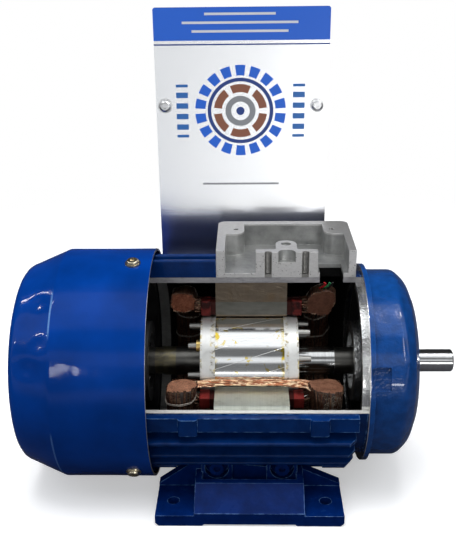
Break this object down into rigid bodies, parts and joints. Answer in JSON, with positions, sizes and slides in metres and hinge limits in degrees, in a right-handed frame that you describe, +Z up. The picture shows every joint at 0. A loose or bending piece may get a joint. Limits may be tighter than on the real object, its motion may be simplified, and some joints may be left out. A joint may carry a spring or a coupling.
{
  "type": "demonstration electric motor",
  "caption": "Foot-mounted squirrel-cage induction motor with its front upper quarter sawn away to show rotor, stator and windings, and an upright display plate.",
  "frame": {"origin": "centre of the four foot holes, on the plane the feet stand on", "axes": "+X along the shaft towards the drive end, +Z up, the sawn window faces -Y"},
  "size_m": [0.2628, 0.1492, 0.278],
  "materials": {
    "blue_paint_frame": "semi-gloss",
    "blue_paint_shield": "gloss",
    "blue_paint_cowl": "gloss",
    "blue_paint_foot": "semi-gloss",
    "blue_paint_fixing": "semi-gloss",
    "grey_casting": "as cast",
    "raw_casting": "as cast",
    "cast_aluminium": "turned",
    "shaft_steel": "ground",
    "bearing_steel": "polished",
    "pressed_steel": "satin",
    "spring_steel": "satin",
    "rotor_lamination": "turned",
    "stator_lamination": "sawn and filed",
    "washer_brass": "satin",
    "slot_paper": "matte",
    "winding_copper": "lacquered copper wire",
    "red_sleeving": "varnished",
    "white_cord": "waxed",
    "lead_insulation": "matte",
    "seal_rubber": "matte",
    "fan_plastic": "matte",
    "zinc_steel": "zinc plated",
    "zinc_yellow": "yellow zinc plated",
    "plate_stainless": null,
    "screw_stainless": "plain",
    "bracket_steel": "satin"
  },
  "bodies": {
    "motor": {"box_screws": "zinc_steel", "bracket_screws": "zinc_steel", "bracket_spacers": "zinc_steel", "cowl_screws": "zinc_yellow", "cowl_washers": "zinc_yellow", "display_plate": "plate_stainless", "drive_bearing_outer_ring": "bearing_steel", "drive_end_shield": "blue_paint_shield", "drive_end_winding": "winding_copper", "fan_cowl": "blue_paint_cowl", "foot_screws": "blue_paint_fixing", "foot_washers": "blue_paint_fixing", "frame_housing": "blue_paint_frame", "front_foot": "blue_paint_foot", "lacing_cord": "white_cord", "lead_wires": "lead_insulation", "plate_bracket": "bracket_steel", "plate_nuts": "screw_stainless", "plate_screws": "screw_stainless", "rear_bearing_outer_ring": "bearing_steel", "rear_end_shield": "grey_casting", "rear_end_winding": "winding_copper", "rear_foot": "blue_paint_foot", "shaft_seal": "seal_rubber", "slot_liners": "slot_paper", "slot_sleeves": "red_sleeving", "slot_windings": "winding_copper", "stator_core": "stator_lamination", "terminal_box_base": "raw_casting", "tie_bolt_nuts": "zinc_steel", "tie_bolts": "zinc_steel", "wave_washer": "spring_steel"},
    "rotor": {"rotor_shaft": "shaft_steel", "rotor_core": "rotor_lamination", "rotor_cage": "cast_aluminium", "balance_washer": "washer_brass", "cooling_fan": "fan_plastic", "fan_circlip": "spring_steel", "drive_bearing_inner_ring": "bearing_steel", "rear_bearing_inner_ring": "bearing_steel"},
    "drive_ball_set": {"drive_bearing_balls": "bearing_steel", "drive_bearing_ball_cage": "pressed_steel"},
    "rear_ball_set": {"rear_bearing_balls": "bearing_steel", "rear_bearing_ball_cage": "pressed_steel"}
  },
  "joints": [
    {"name": "rotor_spin", "type": "hinge", "parent": "motor", "child": "rotor", "pos_m": [0, 0, 0.071], "axis": [1, 0, 0], "continuous": true},
    {"name": "drive_balls_roll", "type": "hinge", "parent": "motor", "child": "drive_ball_set", "pos_m": [0.0715, 0, 0.071], "axis": [1, 0, 0], "continuous": true},
    {"name": "rear_balls_roll", "type": "hinge", "parent": "motor", "child": "rear_ball_set", "pos_m": [-0.0685, 0, 0.071], "axis": [1, 0, 0], "continuous": true}
  ],
  "couplings": [
    {"joint": "drive_balls_roll", "follows": "rotor_spin", "ratio": 0.3808},
    {"joint": "rear_balls_roll", "follows": "rotor_spin", "ratio": 0.3808}
  ]
}
